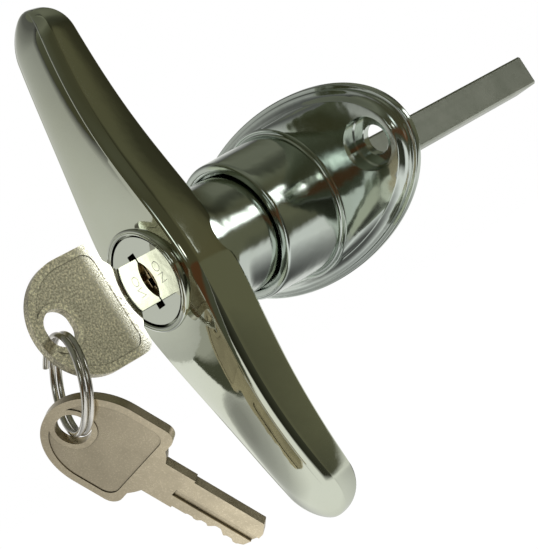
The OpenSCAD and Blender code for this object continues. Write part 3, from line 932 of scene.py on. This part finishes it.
def build_bounce():
    """The table top as the lock mirrors it, drawn in tenths of a metre.

    A pale sheet with a shade under the lock and a grey patch, dark to the right, wood beyond the hem.
    """
    mat, tree, bsdf = glow("bounce", (1, 1, 1), 1.0)
    x, y, _ = split(tree, coords(tree, (10, 10, 10)))
    sheet = ramp(tree, plus(tree, y, 0.5), [(0.25, (1.0, 1.0, 1.0)), (0.8, (0.82, 0.82, 0.8))])
    across = math_node(tree, "POWER", plus(tree, x, 0.3), 2.0)
    deep = times(tree, math_node(tree, "POWER", minus(tree, y, 0.1), 2.0), 1.5)
    shadow = ramp(tree, plus(tree, across, deep), [(0.03, 0.12), (0.16, 0.36), (0.5, 1.0)])
    patch = spot(tree, (-0.14, -0.15, TABLE_Z), turn=41.0, half=(0.1625, 0.1125))
    grey = ramp(tree, patch, [(0.3, 0.34), (0.64, 0.46), (0.8, 0.58), (1.0, 1.0)])
    pale = tinted(tree, tinted(tree, sheet, shadow), grey)
    beyond = minus(tree, minus(tree, x, 0.42), times(tree, y, 0.35))
    beyond = lesser(tree, beyond, plus(tree, times(tree, x, 0.7), plus(tree, y, 0.38)))
    dusk = ramp(tree, plus(tree, times(tree, y, 0.5), 0.5),
                [(0.1, (0.02, 0.02, 0.013)), (0.5, (0.06, 0.062, 0.045)), (1.0, (0.15, 0.148, 0.095))])
    shown = mix(tree, "MIX", ramp(tree, beyond, [(0.0, 0.0), (0.16, 1.0)]), pale, dusk)
    edge = minus(tree, times(tree, x, 0.5), plus(tree, y, 1.5))
    hem = ramp(tree, edge, [(0.0, (1.0, 1.0, 1.0)), (0.15, (0.075, 0.08, 0.055))])
    shown = mix(tree, "MIX", ramp(tree, edge, [(0.0, 0.0), (0.15, 1.0)]), shown, hem)
    wood = ramp(tree, plus(tree, times(tree, x, 0.2), 0.5),
                [(0.1, (0.42, 0.42, 0.38)), (0.42, (0.17, 0.075, 0.032)), (0.75, (0.10, 0.045, 0.02))])
    far = ramp(tree, times(tree, edge, 0.25), [(0.25, 0.0), (0.5, 1.0)])
    feed(tree, bsdf, "Emission Color", mix(tree, "MIX", far, shown, wood))
    h, z = TABLE_HALF, TABLE_Z
    corners = [(-h, -h, z), (h, -h, z), (h, h, z), (-h, h, z)]
    stage_mesh("bounce", corners, SQUARE, mat).visible_camera = False


def build_room():
    """Dark olive room round the stage, with a paler corner; seen only in reflections."""
    rings = []
    for i in range(1, ROOM_ROWS):
        t = math.pi * i / ROOM_ROWS
        ring = []
        for j in range(ROOM_STEPS):
            a = 2 * math.pi * j / ROOM_STEPS
            r = ROOM_R * math.sin(t)
            ring.append((r * math.cos(a), r * math.sin(a), ROOM_R * math.cos(t)))
        rings.append(ring)
    verts, faces = skin(rings)
    mat, tree, bsdf = glow("room", (0.1, 0.1, 0.07), 1.0)
    unit = 0.5 / ROOM_R
    x, y, z = split(tree, coords(tree, (unit, unit, unit)))
    tone = ramp(tree, plus(tree, z, 0.5),
                [(0.0, (0.05, 0.045, 0.03)), (0.5, (0.08, 0.073, 0.04)), (0.72, (0.075, 0.074, 0.045)),
                 (0.82, (0.12, 0.125, 0.09)), (0.88, (0.19, 0.195, 0.15)), (1.0, (0.14, 0.145, 0.115))])
    turn = math_node(tree, "ARCTAN2", x, times(tree, y, -1.0))
    corner = ramp(tree, math_node(tree, "DIVIDE", turn, math.pi),
                  [(0.68, 1.0), (0.74, 1.5), (0.768, 1.5), (0.79, 0.65), (0.83, 0.5), (0.87, 0.6),
                   (0.93, 1.0)])
    feed(tree, bsdf, "Emission Color", tinted(tree, tone, corner))
    stage_mesh("room", verts, faces, mat).visible_camera = False


build_floor()
card("lamp", az=126.6, el=10, dist=1.4, wide=0.27, tall=0.44, color=(0.97, 1.0, 0.98), emit=3.4, soft=0.16)
card("flash", az=54, el=5.5, dist=0.9, wide=0.15, tall=0.12, color=(0.98, 1.0, 0.97), emit=3.2, soft=0.25)
card("glint", az=32, el=12, dist=0.9, wide=0.21, tall=0.34, color=(0.92, 1.0, 1.0), emit=2.8, soft=0.5)
build_panel()
build_bounce()
build_room()

world = bpy.data.worlds.new("studio")
bpy.context.scene.world = world
world.use_nodes = True
background = world.node_tree.nodes["Background"]
background.inputs["Color"].default_value = (1, 1, 1, 1)
background.inputs["Strength"].default_value = 1.0


# camera from the photograph: turned round the lock, looking slightly up, rolled

SHIFT_RIGHT, SHIFT_UP = -15.29, -10.91
PHOTO_W, PIXELS_PER_MM, SENSOR_W = 538, 4.52, 36
place = (SHIFT_RIGHT * right + SHIFT_UP * up - DIST * look) * MM
cam_x = math.cos(ROLL) * right - math.sin(ROLL) * up
cam_y = math.sin(ROLL) * right + math.cos(ROLL) * up
cam = add_object("camera", bpy.data.cameras.new("camera"))
cam.matrix_world = Matrix.Translation(place) @ Matrix((cam_x, cam_y, -look)).transposed().to_4x4()
cam.data.sensor_fit = "HORIZONTAL"
cam.data.sensor_width = SENSOR_W
cam.data.lens = PIXELS_PER_MM * DIST / PHOTO_W * SENSOR_W
cam.data.clip_start = 0.01
bpy.context.scene.camera = cam
bpy.context.scene.view_settings.view_transform = "Standard"
